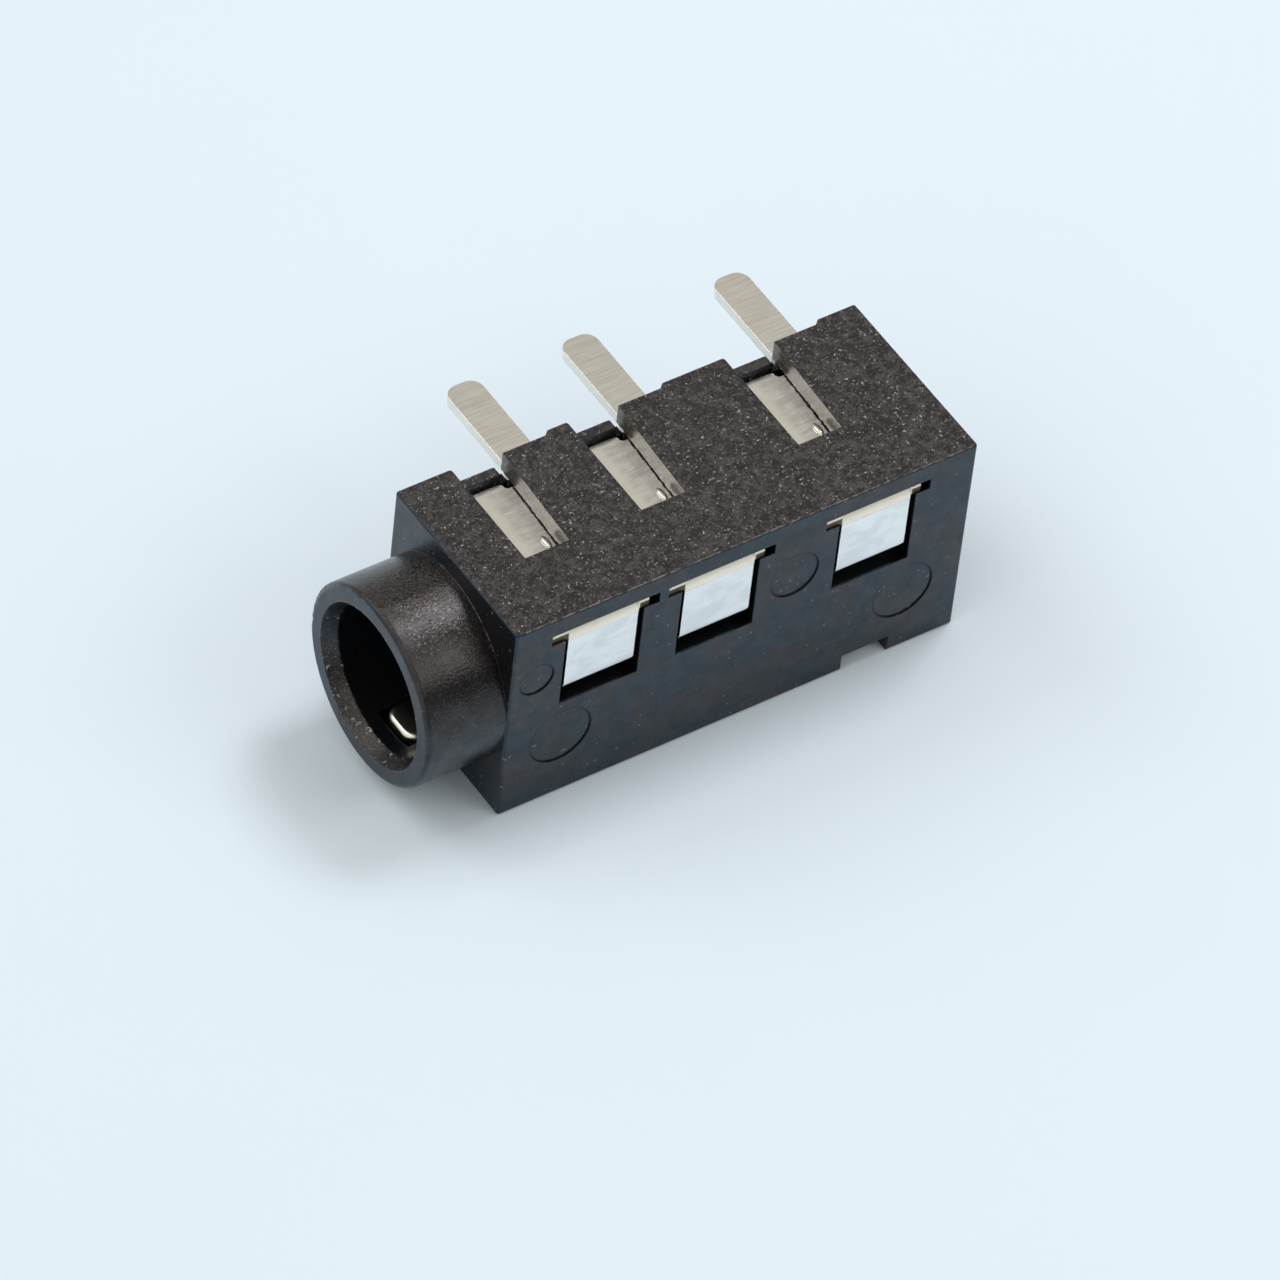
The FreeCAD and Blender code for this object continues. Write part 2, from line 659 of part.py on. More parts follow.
def make_sleeve_contact():
    """Long leaf in the floor of the bore, with its root plate and pin flat on the plain side."""
    contact = new_body("sleeve_contact")
    thickness = size("sheet")
    root_front = size("root_front")
    root_low = -size("root_window_side")
    root_high = half_width - size("leg_end")
    pin_centre = size("sleeve_pin_setback")
    half_pin = size("pin_width") / 2
    root = closed_sketch(contact, "root_outline", "XY_Plane", [
        (root_front, root_low),
        (pin_centre + half_pin, root_low),
        *pin_end(pin_centre),
        (pin_centre - half_pin, root_high),
        (root_front, root_high),
    ], offset=-leg_top)
    pad(contact, "root_plate", root, thickness)
    floor = -bore_radius
    tip = mouth + size("leaf_tip_setback")
    crest = tip + size("leaf_crest_setback")
    rise_start = mouth + size("leaf_rise_start")
    crest_top = floor + size("leaf_crest_reach")
    tip_top = crest_top - size("leaf_tip_drop")
    leaf_end = root_front + thickness
    profile = closed_sketch(contact, "leaf_profile", "XZ_Plane", [
        (tip, tip_top - thickness),
        (crest, crest_top - thickness),
        (rise_start, -leg_top),
        (leaf_end, -leg_top),
        (leaf_end, -leg_under),
        (rise_start, -leg_under),
        (crest, crest_top),
        (tip, tip_top),
    ], offset=-size("leaf_offset"))
    leaf = pad(contact, "leaf", profile, size("leaf_width"), symmetric=True)
    rounded = round_edges(contact, "leaf_tip", leaf, size("leaf_tip_round"),
                          lambda edge: near(edge.BoundBox.XMin, tip) and near(edge.BoundBox.XMax, tip)
                          and edge.BoundBox.YLength < 1e-4)
    round_edges(contact, "leaf_rim", rounded, size("leaf_rim_round"),
                lambda edge: near(edge.BoundBox.XMin, tip) and near(edge.BoundBox.XMax, tip)
                and near(edge.BoundBox.ZMin, tip_top))
    return contact


CONTACTS = ("second_ring_contact", "first_ring_contact", "tip_contact")
pieces = [make_housing(CONTACTS)]
for name, centre, pin_offset in zip(CONTACTS, window_centres, pin_offsets):
    pieces.append(make_folded_contact(name, centre, pin_offset))
pieces.append(make_sleeve_contact())
document.recompute()

for thing in document.Objects:
    if "Invalid" in thing.State or "Error" in thing.State:
        raise RuntimeError(f"{thing.Name} did not build: {thing.State}")
for piece in pieces:
    if piece.Shape.isNull() or not piece.Shape.isValid() or len(piece.Shape.Solids) != 1:
        raise RuntimeError(f"{piece.Label} is not one valid solid")

os.makedirs("parts", exist_ok=True)
for piece in pieces:
    piece.Shape.exportStep(f"parts/{piece.Label}.step")
    box = piece.Shape.BoundBox
    print(f"{piece.Label}: {piece.Shape.Volume:.3f} mm3, X {box.XMin:.2f} to {box.XMax:.2f}, "
          f"Y {box.YMin:.2f} to {box.YMax:.2f}, Z {box.ZMin:.2f} to {box.ZMax:.2f}")
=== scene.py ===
import math
import random

import bmesh
import bpy
from mathutils import Euler, Matrix, Vector


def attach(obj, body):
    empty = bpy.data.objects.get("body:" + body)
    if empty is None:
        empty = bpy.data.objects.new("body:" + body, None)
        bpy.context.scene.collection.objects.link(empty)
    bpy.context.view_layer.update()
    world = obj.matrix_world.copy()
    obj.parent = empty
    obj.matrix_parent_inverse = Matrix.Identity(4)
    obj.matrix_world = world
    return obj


# Audio jack socket lying on its plain side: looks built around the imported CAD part, in metres.

MM = 0.001
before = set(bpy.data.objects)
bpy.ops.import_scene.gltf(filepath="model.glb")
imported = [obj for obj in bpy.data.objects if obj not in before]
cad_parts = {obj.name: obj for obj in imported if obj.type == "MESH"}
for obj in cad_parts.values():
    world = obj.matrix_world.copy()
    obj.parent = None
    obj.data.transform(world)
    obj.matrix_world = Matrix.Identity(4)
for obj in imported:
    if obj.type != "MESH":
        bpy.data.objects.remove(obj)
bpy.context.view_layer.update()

# Sizes in millimetres, as the CAD part has them: along the bore from mouth to rear, across from the
# window face to the board face, and up.
TOP = 2.875
UNDERSIDE = -2.875
WINDOW_FACE = -2.45
BOARD_FACE = 2.45
BODY_LENGTH = 12.0
BARREL_RADIUS = 2.4
SKIN_UNDER = TOP - 0.51
WINDOW_CENTRES = (2.34, 5.34, 9.44)

# Middle of each ejector-pin mark on the window face, as along and up, and its radius.
MARKS = ((1.47, -1.018, 0.78), (10.45, -1.018, 0.78), (7.37, 1.045, 0.62), (0.67, 1.165, 0.43))

# Share of a face's direction that points up, where the masks of level faces are empty and full.
LEVEL_FACE = (0.7, 0.95)


# Camera

CAMERA_AT = (-99.985, -134.434, 180.284)
CAMERA_TURN = (42.8713, -4.7413, -32.9657)
CAMERA_LENS = 318.829

camera_data = bpy.data.cameras.new("camera")
camera_data.lens = CAMERA_LENS
camera_data.sensor_width = 36.0
camera_data.clip_start = 0.01
camera_data.clip_end = 10.0
camera = bpy.data.objects.new("camera", camera_data)
camera.location = Vector(CAMERA_AT) * MM
camera.rotation_euler = Euler([math.radians(turn) for turn in CAMERA_TURN], "XYZ")
bpy.context.scene.collection.objects.link(camera)
bpy.context.scene.camera = camera
bpy.context.scene.view_settings.view_transform = "Standard"


# Building of node trees

class Nodes:
    """Short names for building a node tree: each call adds nodes and gives back the last one's output."""

    def __init__(self, tree):
        self.tree = tree
        tree.nodes.clear()

    def add(self, kind, inputs=None, output=0, **settings):
        node = self.tree.nodes.new(kind)
        for name, value in settings.items():
            setattr(node, name, value)
        for name, value in (inputs or {}).items():
            self.plug(node.inputs[name], value)
        return node.outputs[output] if node.outputs else node

    def plug(self, socket, value):
        if isinstance(value, bpy.types.NodeSocket):
            self.tree.links.new(value, socket)
        else:
            socket.default_value = value

    def math(self, operation, *values):
        return self.add("ShaderNodeMath", dict(enumerate(values)), operation=operation)

    def size_of(self, value):
        return self.math("ABSOLUTE", value)

    def length(self, first, second):
        """Length of the slanting side over two sides at right angles."""
        return self.math("SQRT", self.math("ADD", self.times(first, first), self.times(second, second)))

    def step(self, value, empty, full):
        """0 at the value empty and beyond, 1 at the value full and beyond, smooth between them."""
        return self.add("ShaderNodeMapRange", {"Value": value, "From Min": empty, "From Max": full},
                        interpolation_type="SMOOTHSTEP")

    def band(self, value, low_end, high_end):
        """1 between two ends, where each end says at which value the mask is empty and full."""
        return self.times(self.step(value, *low_end), self.step(value, *high_end))

    def times(self, *values):
        product = values[0]
        for value in values[1:]:
            product = self.math("MULTIPLY", product, value)
        return product

    def either(self, first, second):
        return self.math("MAXIMUM", first, second)

    def mix(self, factor, first, second):
        return self.add("ShaderNodeMix", {"Factor": factor, "A": first, "B": second}, output="Result",
                        data_type="FLOAT")

    def mix_colour(self, factor, first, second):
        """The colour sockets share their names with those for numbers, so they go by their place."""
        return self.add("ShaderNodeMix", {0: factor, 6: first, 7: second}, output=2, data_type="RGBA")

    def noise(self, place, scale, detail=2.0, roughness=0.5, distortion=0.0):
        return self.add("ShaderNodeTexNoise", {"Vector": place, "Scale": scale, "Detail": detail,
                                               "Roughness": roughness, "Distortion": distortion})

    def stretch(self, place, factors):
        return self.add("ShaderNodeVectorMath", {0: place, 1: factors}, operation="MULTIPLY")

    def split(self, vector):
        node = self.tree.nodes.new("ShaderNodeSeparateXYZ")
        self.plug(node.inputs[0], vector)
        return node.outputs[0], node.outputs[1], node.outputs[2]

    def rounded(self, radius):
        """Normal with the edges softened to a radius in millimetres."""
        return self.add("ShaderNodeBevel", {"Radius": radius * MM}, samples=4)

    def bump(self, height, strength, depth, normal):
        return self.add("ShaderNodeBump", {"Strength": strength, "Distance": depth * MM, "Height": height,
                                           "Normal": normal})

    def principled(self, **inputs):
        """Shader and output of a material, whose inputs are named with underscores for spaces."""
        named = {name.replace("_", " "): value for name, value in inputs.items()}
        shader = self.add("ShaderNodeBsdfPrincipled", named)
        self.add("ShaderNodeOutputMaterial", {"Surface": shader})


class Surface:
    """A point on the part in millimetres, and which way its surface faces there."""

    def __init__(self, nodes):
        self.place, normal = millimetre_place(nodes)
        self.along, self.across, self.up = nodes.split(self.place)
        self.normal_along, self.normal_across, self.normal_up = nodes.split(normal)


def millimetre_place(nodes):
    geometry = nodes.tree.nodes.new("ShaderNodeNewGeometry")
    place = nodes.stretch(geometry.outputs["Position"], (1000.0, 1000.0, 1000.0))
    return place, geometry.outputs["True Normal"]


def start_material(name):
    material = bpy.data.materials.new(name)
    material.use_nodes = True
    return material, Nodes(material.node_tree)


def grey(level, tint=(1.0, 1.0, 1.0)):
    return (level * tint[0], level * tint[1], level * tint[2], 1.0)


def distance_from(nodes, along, middles):
    """How far a place lies from the nearest of several middles along the part."""
    nearest = 99.0
    for middle in middles:
        away = nodes.size_of(nodes.math("SUBTRACT", along, middle))
        nearest = nodes.math("MINIMUM", away, nearest)
    return nearest


# Moulded plastic

# Ends of the masks, each as the value where the mask is empty and the value where it is full.
ERODED_UP = (TOP - 0.05, TOP - 0.02)
BRIDGE_ACROSS = ((2.01, 2.03), (2.34, 2.32))
BRIDGE_UP = ((2.20, 2.24), (2.56, 2.54))
BARREL_ALONG = (-0.01, -0.03)
BARREL_OUTSIDE = (BARREL_RADIUS - 0.1, BARREL_RADIUS - 0.04)
LEAD_IN_ALONG = (-1.6, -1.65)
LEAD_IN_INSIDE = (2.0, 1.97)
# The ridge and the low lip of the lead-in get painted light, and the crown most of the painted glints.
RIDGE_ACROSS = (-0.75, -0.15)
RIDGE_UP = (1.9, 2.15)
LIP_ACROSS = (-0.9, 0.2)
LIP_UP = (0.2, -0.6)
CROWN_ACROSS = ((-1.55, -1.0), (0.1, -0.45))
CROWN_ALONG = ((-1.85, -1.5), (-0.25, -0.55))
MARK_LINE = (0.032, 0.015)
MARK_ACROSS = (WINDOW_FACE + 0.06, WINDOW_FACE + 0.04)
SLOT_WALL_ALONG = (0.5, 0.6)
SLOT_WALL_ACROSS = (-0.62, -0.60)
SLOT_WALL_UP = (SKIN_UNDER - 0.02, SKIN_UNDER)
OUT_OF_BORE = (2.25, 2.35)
CHAMBER_ACROSS = ((WINDOW_FACE + 0.035, WINDOW_FACE + 0.06), (-0.3, -0.6))
CHAMBER_UP = ((-0.35, -0.15), (2.45, 2.38))
CHAMBER_HALF_WIDTH = (1.42, 1.36)

# Colours of the plastic's skins, some of them painted light and shade as noted, and the tints of what
# they reflect.
UPPER_DARK = grey(0.002, (1.1, 0.98, 1.0))
UPPER_PALE = grey(0.044, (1.09, 0.98, 0.97))
# Painted highlight: pale specks painted into the grain of the upper side.
UPPER_PAINTED_GLINT = grey(0.34, (1.04, 0.98, 0.98))
BARREL_DARK = grey(0.002, (1.1, 1.0, 1.0))
BARREL_MIDDLE = grey(0.013, (1.12, 0.98, 0.98))
# Painted light: the paler grain on the barrel's ridge and on the low lip of the lead-in.
BARREL_PAINTED_LIGHT = grey(0.040, (1.12, 0.98, 0.97))
# Painted highlight: specks painted into the barrel's grain, crowded on the crown where the highlight
# falls.
BARREL_PAINTED_GLINT = grey(0.34, (1.05, 0.97, 1.0))
# Painted reflection: blue and beige casts of the smooth skins and of their reflected tints.
SMOOTH_COOL = grey(0.005, (0.7, 1.0, 1.4))
SMOOTH_WARM = grey(0.005, (1.25, 1.0, 0.95))
# Painted light on the slot walls, as thrown up onto them off the tin plates.
SLOT_WALL_BOUNCE_DARK = grey(0.05, (1.12, 1.0, 0.86))
SLOT_WALL_BOUNCE_PALE = grey(0.11, (1.10, 1.0, 0.86))
DUST = grey(0.11)
LINE_DARK = grey(0.001)
# Painted shade inside the chambers behind the windows.
CHAMBER_PAINTED_SHADE = grey(0.001, (1.3, 1.0, 0.9))
COOL_TINT = (0.57, 0.79, 1.0, 1.0)
WARM_TINT = (0.79, 0.84, 0.96, 1.0)
SLOT_WALL_BOUNCE_TINT = (1.0, 0.92, 0.80, 1.0)
TEXTURED_TINT = (1.0, 0.97, 0.99, 1.0)


def texture_masks(nodes, surface, off_axis):
    """Where the mould was spark eroded: the upper side, and more finely the barrel and its lead-in."""
    facing_along = nodes.size_of(surface.normal_along)
    upper_face = nodes.times(nodes.step(surface.up, *ERODED_UP),
                             nodes.step(surface.normal_up, *LEVEL_FACE))
    bridge = nodes.times(nodes.band(surface.across, *BRIDGE_ACROSS), nodes.band(surface.up, *BRIDGE_UP),
                         nodes.step(facing_along, 0.9, 0.7))
    upper_side = nodes.either(upper_face, nodes.times(bridge, 0.75))
    barrel_side = nodes.times(nodes.step(surface.along, *BARREL_ALONG),
                              nodes.step(off_axis, *BARREL_OUTSIDE),
                              nodes.step(facing_along, 0.8, 0.4))
    lead_in = nodes.times(nodes.step(surface.along, *LEAD_IN_ALONG),
                          nodes.step(off_axis, *LEAD_IN_INSIDE))
    return upper_side, barrel_side, lead_in


def upper_side_colour(nodes, spark, glints, clusters):
    """Dark grain with painted glints: pale specks painted in as highlights, which crowd together in
    clusters.
    """
    grain = nodes.mix_colour(nodes.step(spark, 1.02, 1.34), UPPER_DARK, UPPER_PALE)
    # Painted highlight: the glints paint pale sparkle into the grain.
    sparkle = nodes.times(glints, nodes.mix(clusters, 0.16, 1.0))
    return nodes.mix_colour(sparkle, grain, UPPER_PAINTED_GLINT)


def barrel_colour(nodes, surface, lead_in, fine, glints, clusters):
    """Fine grain, with painted light on the ridge and a painted highlight on the low lip of the lead-in,
    and painted glints, most of them on the crown where the highlight falls.
    """
    ridge = nodes.times(nodes.step(surface.across, *RIDGE_ACROSS), nodes.step(surface.up, *RIDGE_UP))
    lip = nodes.times(lead_in, nodes.step(surface.across, *LIP_ACROSS), nodes.step(surface.up, *LIP_UP))
    # Painted light: the ridge and the low lip are painted paler.
    grain_with_painted_light = nodes.mix_colour(nodes.either(ridge, lip), BARREL_MIDDLE, BARREL_PAINTED_LIGHT)
    grain = nodes.mix_colour(nodes.step(fine, 0.35, 0.68), BARREL_DARK, grain_with_painted_light)
    # Painted highlight: glints are painted thickest on the crown, where the highlight falls.
    crown = nodes.times(nodes.band(surface.across, *CROWN_ACROSS),
                        nodes.band(surface.along, *CROWN_ALONG))
    sparkle = nodes.either(nodes.times(lead_in, clusters), nodes.mix(crown, 0.08, 0.45))
    return nodes.mix_colour(nodes.times(glints, sparkle), grain, BARREL_PAINTED_GLINT)


def mark_lines(nodes, surface):
    """Thin lines round the ejector-pin marks."""
    lines = 0.0
    for middle_along, middle_up, mark_radius in MARKS:
        away = nodes.math("SUBTRACT", surface.along, middle_along)
        above = nodes.math("SUBTRACT", surface.up, middle_up)
        off_line = nodes.size_of(nodes.math("SUBTRACT", nodes.length(away, above), mark_radius))
        lines = nodes.either(nodes.step(off_line, *MARK_LINE), lines)
    return nodes.times(lines, nodes.step(surface.across, *MARK_ACROSS))


def smooth_look(nodes, surface, off_axis, lines):
    """Colour and reflected tint where the mould was smooth, with dust outside the bore, and a blue and
    beige cast that is painted reflection of the floor.
    """
    # Painted reflection: the cast paints the blue and beige of the reflected floor into the colour and
    # the reflected tint.
    reflection_cast = nodes.step(nodes.noise(surface.place, 0.9, detail=3.0), 0.42, 0.62)
    colour = nodes.mix_colour(reflection_cast, SMOOTH_COOL, SMOOTH_WARM)
    tint = nodes.mix_colour(reflection_cast, COOL_TINT, WARM_TINT)

    # The sloping rear walls of the slots are painted paler and warmer, in blotches: painted light, as
    # thrown up onto them off the tin plates.
    slot_wall = nodes.times(nodes.step(surface.up, *SLOT_WALL_UP),
                            nodes.step(surface.across, *SLOT_WALL_ACROSS),
                            nodes.step(surface.normal_along, -0.7, -0.9),
                            nodes.step(surface.along, *SLOT_WALL_ALONG))
    bounce_blotches = nodes.step(nodes.noise(surface.place, 9.0, detail=3.0, roughness=0.7), 0.40, 0.66)
    bounce_colour = nodes.mix_colour(bounce_blotches, SLOT_WALL_BOUNCE_DARK, SLOT_WALL_BOUNCE_PALE)
    colour = nodes.mix_colour(slot_wall, colour, bounce_colour)
    tint = nodes.mix_colour(slot_wall, tint, SLOT_WALL_BOUNCE_TINT)

    specks = nodes.step(nodes.noise(surface.place, 9.0, detail=0.0), 0.765, 0.81)
    colour = nodes.mix_colour(nodes.times(nodes.step(off_axis, *OUT_OF_BORE), specks), colour, DUST)
    colour = nodes.mix_colour(lines, colour, LINE_DARK)
    return colour, tint


def chamber_mask(nodes, surface):
    """The chambers behind the windows, which are dull, and painted dark as painted shade."""
    off_centre = distance_from(nodes, surface.along, WINDOW_CENTRES)
    return nodes.times(nodes.band(surface.across, *CHAMBER_ACROSS),
                       nodes.step(off_centre, *CHAMBER_HALF_WIDTH),
                       nodes.band(surface.up, *CHAMBER_UP))


def moulded_plastic():
    material, nodes = start_material("moulded_plastic")
    surface = Surface(nodes)
    off_axis = nodes.length(surface.across, surface.up)
    upper_side, barrel_side, lead_in = texture_masks(nodes, surface, off_axis)
    barrel = nodes.either(barrel_side, lead_in)
    upper_barrel = nodes.times(barrel, nodes.step(surface.normal_up, -0.1, 0.3))
    textured = nodes.either(upper_side, upper_barrel)
    lines = mark_lines(nodes, surface)
    chamber = chamber_mask(nodes, surface)

    coarse = nodes.noise(surface.place, 5.0, detail=3.0, roughness=0.7, distortion=0.5)
    fine = nodes.noise(surface.place, 21.0, detail=2.0, roughness=0.6)
    spark = nodes.math("MULTIPLY_ADD", coarse, 1.3, fine)
    glitter = nodes.noise(surface.place, 16.0, detail=1.0, roughness=0.4, distortion=0.6)
    glints = nodes.step(glitter, 0.62, 0.71)
    clusters = nodes.step(nodes.noise(surface.place, 4.2, detail=2.0), 0.42, 0.62)

    colour, smooth_tint = smooth_look(nodes, surface, off_axis, lines)
    fine_grained = barrel_colour(nodes, surface, lead_in, fine, glints, clusters)
    colour = nodes.mix_colour(barrel, colour, fine_grained)
    colour = nodes.mix_colour(upper_side, colour, upper_side_colour(nodes, spark, glints, clusters))
    # Painted shade: the chambers behind the windows are painted darker.
    colour = nodes.mix_colour(chamber, colour, CHAMBER_PAINTED_SHADE)

    ripple = nodes.noise(surface.place, 1.3, detail=2.0)
    smooth_roughness = nodes.math("MULTIPLY_ADD", ripple, 0.12, 0.20)
    barrel_roughness = nodes.mix(nodes.step(surface.along, -1.9, -0.7), 0.28, 0.20)
    roughness = nodes.mix(barrel, smooth_roughness, barrel_roughness)
    roughness = nodes.mix(upper_side, roughness, nodes.mix(glints, 0.46, 0.24))
    roughness = nodes.mix(chamber, roughness, 0.55)

    # Handling leaves the gloss uneven, and what faces the front is a little glossier.
    handling = nodes.step(nodes.noise(surface.place, 2.4, detail=5.0, roughness=0.7), 0.36, 0.66)
    facing_front = nodes.step(surface.normal_across, -0.3, -0.8)
    gloss = nodes.times(nodes.mix(handling, 0.43, 0.59), nodes.mix(facing_front, 1.0, 1.16))
    gloss = nodes.mix(lines, gloss, 0.24)
    gloss = nodes.mix(chamber, gloss, 0.14)

    normal = nodes.bump(spark, upper_side, 0.048, nodes.rounded(0.03))
    normal = nodes.bump(fine, nodes.times(barrel, 0.9), 0.012, normal)
    skin = nodes.noise(surface.place, 5.0, detail=3.0)
    normal = nodes.bump(skin, 0.16, 0.01, normal)
    nodes.principled(Base_Color=colour, Roughness=roughness, IOR=nodes.mix(textured, 1.54, 1.46),
                     Specular_IOR_Level=gloss, Normal=normal,
                     Specular_Tint=nodes.mix_colour(textured, smooth_tint, TEXTURED_TINT))
    return material


# Tin-plated contact metal

# Ends of the masks, each as the value where the mask is empty and the value where it is full.
PINS_ACROSS = (BOARD_FACE - 0.1, BOARD_FACE)
SHEEN_ACROSS = (BOARD_FACE - 0.3, BOARD_FACE - 0.5)
SHEEN_HALF_WIDTH = (0.42, 0.16)
FOLD_ACROSS = (-2.08, -2.14)
FOLD_UP = (1.91, 1.99)
FLAP_HALF_WIDTH = (0.91, 0.89)
EAR_START = (0.905, 0.925)
EAR_ACROSS = (-2.36, -2.385)
EAR_UP = (2.24, 2.205)
NECK_ACROSS = ((1.75, 1.80), (2.44, 2.38))
RIB_ACROSS = ((-1.0, -0.8), (1.0, 0.8))
RIB_UP = (2.317, 2.325)
LEAF_END_ALONG = (-0.9, -1.0)
LEAF_END_UP = (0.0, -0.5)

# How far the painted sheen on a leg plate lies from the window's middle, towards the mouth.
SHEEN_SHIFT = 0.66

# Colours of the metal, some of them painted light and shade as noted.
FLAP_DARK = grey(0.87, (0.965, 0.99, 1.0))
FLAP_PALE = grey(0.98, (0.99, 0.998, 1.0))
PLATE_DARK = grey(0.74, (1.0, 0.98, 0.935))
PLATE_PALE = grey(0.92, (1.0, 0.985, 0.95))
PLATE_PAINTED_SHEEN = grey(1.0, (1.0, 0.985, 0.94))
PIN_DARK = grey(0.84, (1.0, 0.98, 0.925))
PIN_PALE = grey(1.0, (1.0, 0.985, 0.945))
STREAK = grey(0.98, (1.0, 0.99, 0.96))
# Painted highlight along the bends of the folds.
FOLD_PAINTED_HIGHLIGHT = (1.0, 0.955, 0.85, 1.0)
PIN_EDGE = (0.86, 0.84, 0.79, 1.0)
# Painted shade on the sides of the necks and the lower halves of the ears.
NECK_PAINTED_SHADE = (0.34, 0.31, 0.26, 1.0)
EAR_PAINTED_SHADE = (0.13, 0.10, 0.055, 1.0)
# Painted shade that dims the highlights on the ribs and the end of the leaf.
DIMMED_RIM = (0.74, 0.71, 0.63, 1.0)


def drawn_noise(nodes, surface, factors, **settings):
    """Noise whose cells are finer along the axes with the greater factors."""
    return nodes.noise(nodes.stretch(surface.place, factors), 1.0, **settings)


def rolled_colour(nodes, surface, pins, lines):
    """Colour of the pins and leg plates, lined by rolling, with a painted sheen that makes the half
    nearer the mouth brighter.
    """
    light = nodes.step(lines, 0.34, 0.66)
    plate = nodes.mix_colour(light, PLATE_DARK, PLATE_PALE)
    # Painted highlight: the half of each leg plate nearer the mouth is painted brighter.
    middles = [centre - SHEEN_SHIFT for centre in WINDOW_CENTRES]
    off_middle = distance_from(nodes, surface.along, middles)
    painted_sheen = nodes.times(nodes.step(off_middle, *SHEEN_HALF_WIDTH),
                           nodes.step(surface.across, *SHEEN_ACROSS))
    plate = nodes.mix_colour(painted_sheen, plate, PLATE_PAINTED_SHEEN)
    pin = nodes.mix_colour(light, PIN_DARK, PIN_PALE)
    streaks = nodes.step(drawn_noise(nodes, surface, (1.6, 17.0, 17.0), detail=1.0), 0.66, 0.74)
    return nodes.mix_colour(streaks, nodes.mix_colour(pins, plate, pin), STREAK)


def plated_metal():
    material, nodes = start_material("plated_metal")
    surface = Surface(nodes)
    off_centre = distance_from(nodes, surface.along, WINDOW_CENTRES)
    leaning = nodes.size_of(surface.normal_up)
    flat = nodes.step(leaning, *LEVEL_FACE)
    pins = nodes.step(surface.across, *PINS_ACROSS)

    # The strip is rolled: fine lines across each pin and leg, hardly visible on the flaps.
    fine_lines = drawn_noise(nodes, surface, (1.1, 27.0, 27.0), detail=4.0, roughness=0.65)
    broad_lines = drawn_noise(nodes, surface, (1.4, 6.5, 6.5), detail=2.0, distortion=0.6)
    lines = nodes.mix(pins, broad_lines, fine_lines)
    smears = drawn_noise(nodes, surface, (1.1, 1.0, 2.4), detail=3.0, roughness=0.6, distortion=0.8)
    flap_colour = nodes.mix_colour(nodes.step(smears, 0.36, 0.62), FLAP_DARK, FLAP_PALE)
    colour = nodes.mix_colour(flat, flap_colour, rolled_colour(nodes, surface, pins, lines))

    # The folds in the windows are matt and painted cream: a painted highlight along each bend.
    on_strip = nodes.either(nodes.step(leaning, 0.02, 0.10), nodes.step(off_centre, *FLAP_HALF_WIDTH))
    fold = nodes.times(nodes.step(surface.across, *FOLD_ACROSS), nodes.step(surface.up, *FOLD_UP),
                       on_strip)
    colour = nodes.mix_colour(fold, colour, FOLD_PAINTED_HIGHLIGHT)

    # The sheared sides of the pins show the brass under the plating. The sides of the necks and the lower
    # halves of the ears are painted dark as painted shade.
    sides = nodes.step(nodes.size_of(surface.normal_along), 0.6, 0.8)
    pin_sides = nodes.times(sides, pins)
    shaded_neck_sides = nodes.times(sides, nodes.band(surface.across, *NECK_ACROSS))
    shaded_ears = nodes.times(nodes.step(off_centre, *EAR_START), nodes.step(surface.across, *EAR_ACROSS),
                       nodes.step(surface.up, *EAR_UP))
    colour = nodes.mix_colour(pin_sides, colour, PIN_EDGE)
    colour = nodes.mix_colour(shaded_neck_sides, colour, NECK_PAINTED_SHADE)
    colour = nodes.mix_colour(shaded_ears, colour, EAR_PAINTED_SHADE)

    # Pressed ribs and the end of the leaf are painted darker than the flats: painted shade that dims
    # their highlights.
    rib = nodes.times(nodes.step(surface.up, *RIB_UP), nodes.band(surface.across, *RIB_ACROSS))
    leaf_end = nodes.times(nodes.step(surface.along, *LEAF_END_ALONG),
                           nodes.step(surface.up, *LEAF_END_UP))
    dimmed_rim = nodes.either(rib, leaf_end)
    colour = nodes.mix_colour(dimmed_rim, colour, DIMMED_RIM)

    cloud = nodes.noise(surface.place, 2.2, detail=3.0)
    roughness = nodes.mix(flat, nodes.math("MULTIPLY_ADD", cloud, 0.06, 0.06),
                          nodes.math("MULTIPLY_ADD", cloud, 0.10, 0.16))
    roughness = nodes.mix(fold, roughness, 0.31)
    roughness = nodes.mix(dimmed_rim, roughness, 0.26)
    roughness = nodes.mix(nodes.either(shaded_ears, pin_sides), roughness, 0.45)

    scratches = nodes.mix(flat, 0.03, nodes.mix(pins, 0.22, 0.12))
    normal = nodes.bump(lines, scratches, 0.008, nodes.rounded(0.035))
    nodes.principled(Base_Color=colour, Metallic=nodes.mix(fold, 1.0, 0.05), Roughness=roughness,
                     Normal=normal)
    return material


plastic = moulded_plastic()
metal = plated_metal()
for name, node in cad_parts.items():
    node.data.materials.clear()
    node.data.materials.append(plastic if name == "housing" else metal)


# Flash: thin beads that the mould leaves where its halves meet, painted paler as painted highlights along
# the edges

def flash_with_painted_highlight(name, level):
    """Plastic of a thin flash, painted paler than the face beside it as a painted highlight."""
    material, nodes = start_material(name)
    place, _ = millimetre_place(nodes)
    broken = nodes.step(nodes.noise(place, 6.0, detail=3.0, roughness=0.7), 0.38, 0.62)
    colour = nodes.mix_colour(broken, grey(0.016), grey(level, (1.05, 1.0, 0.96)))
    nodes.principled(Base_Color=colour, Roughness=nodes.mix(broken, 0.5, 0.3), IOR=1.45)
    return material


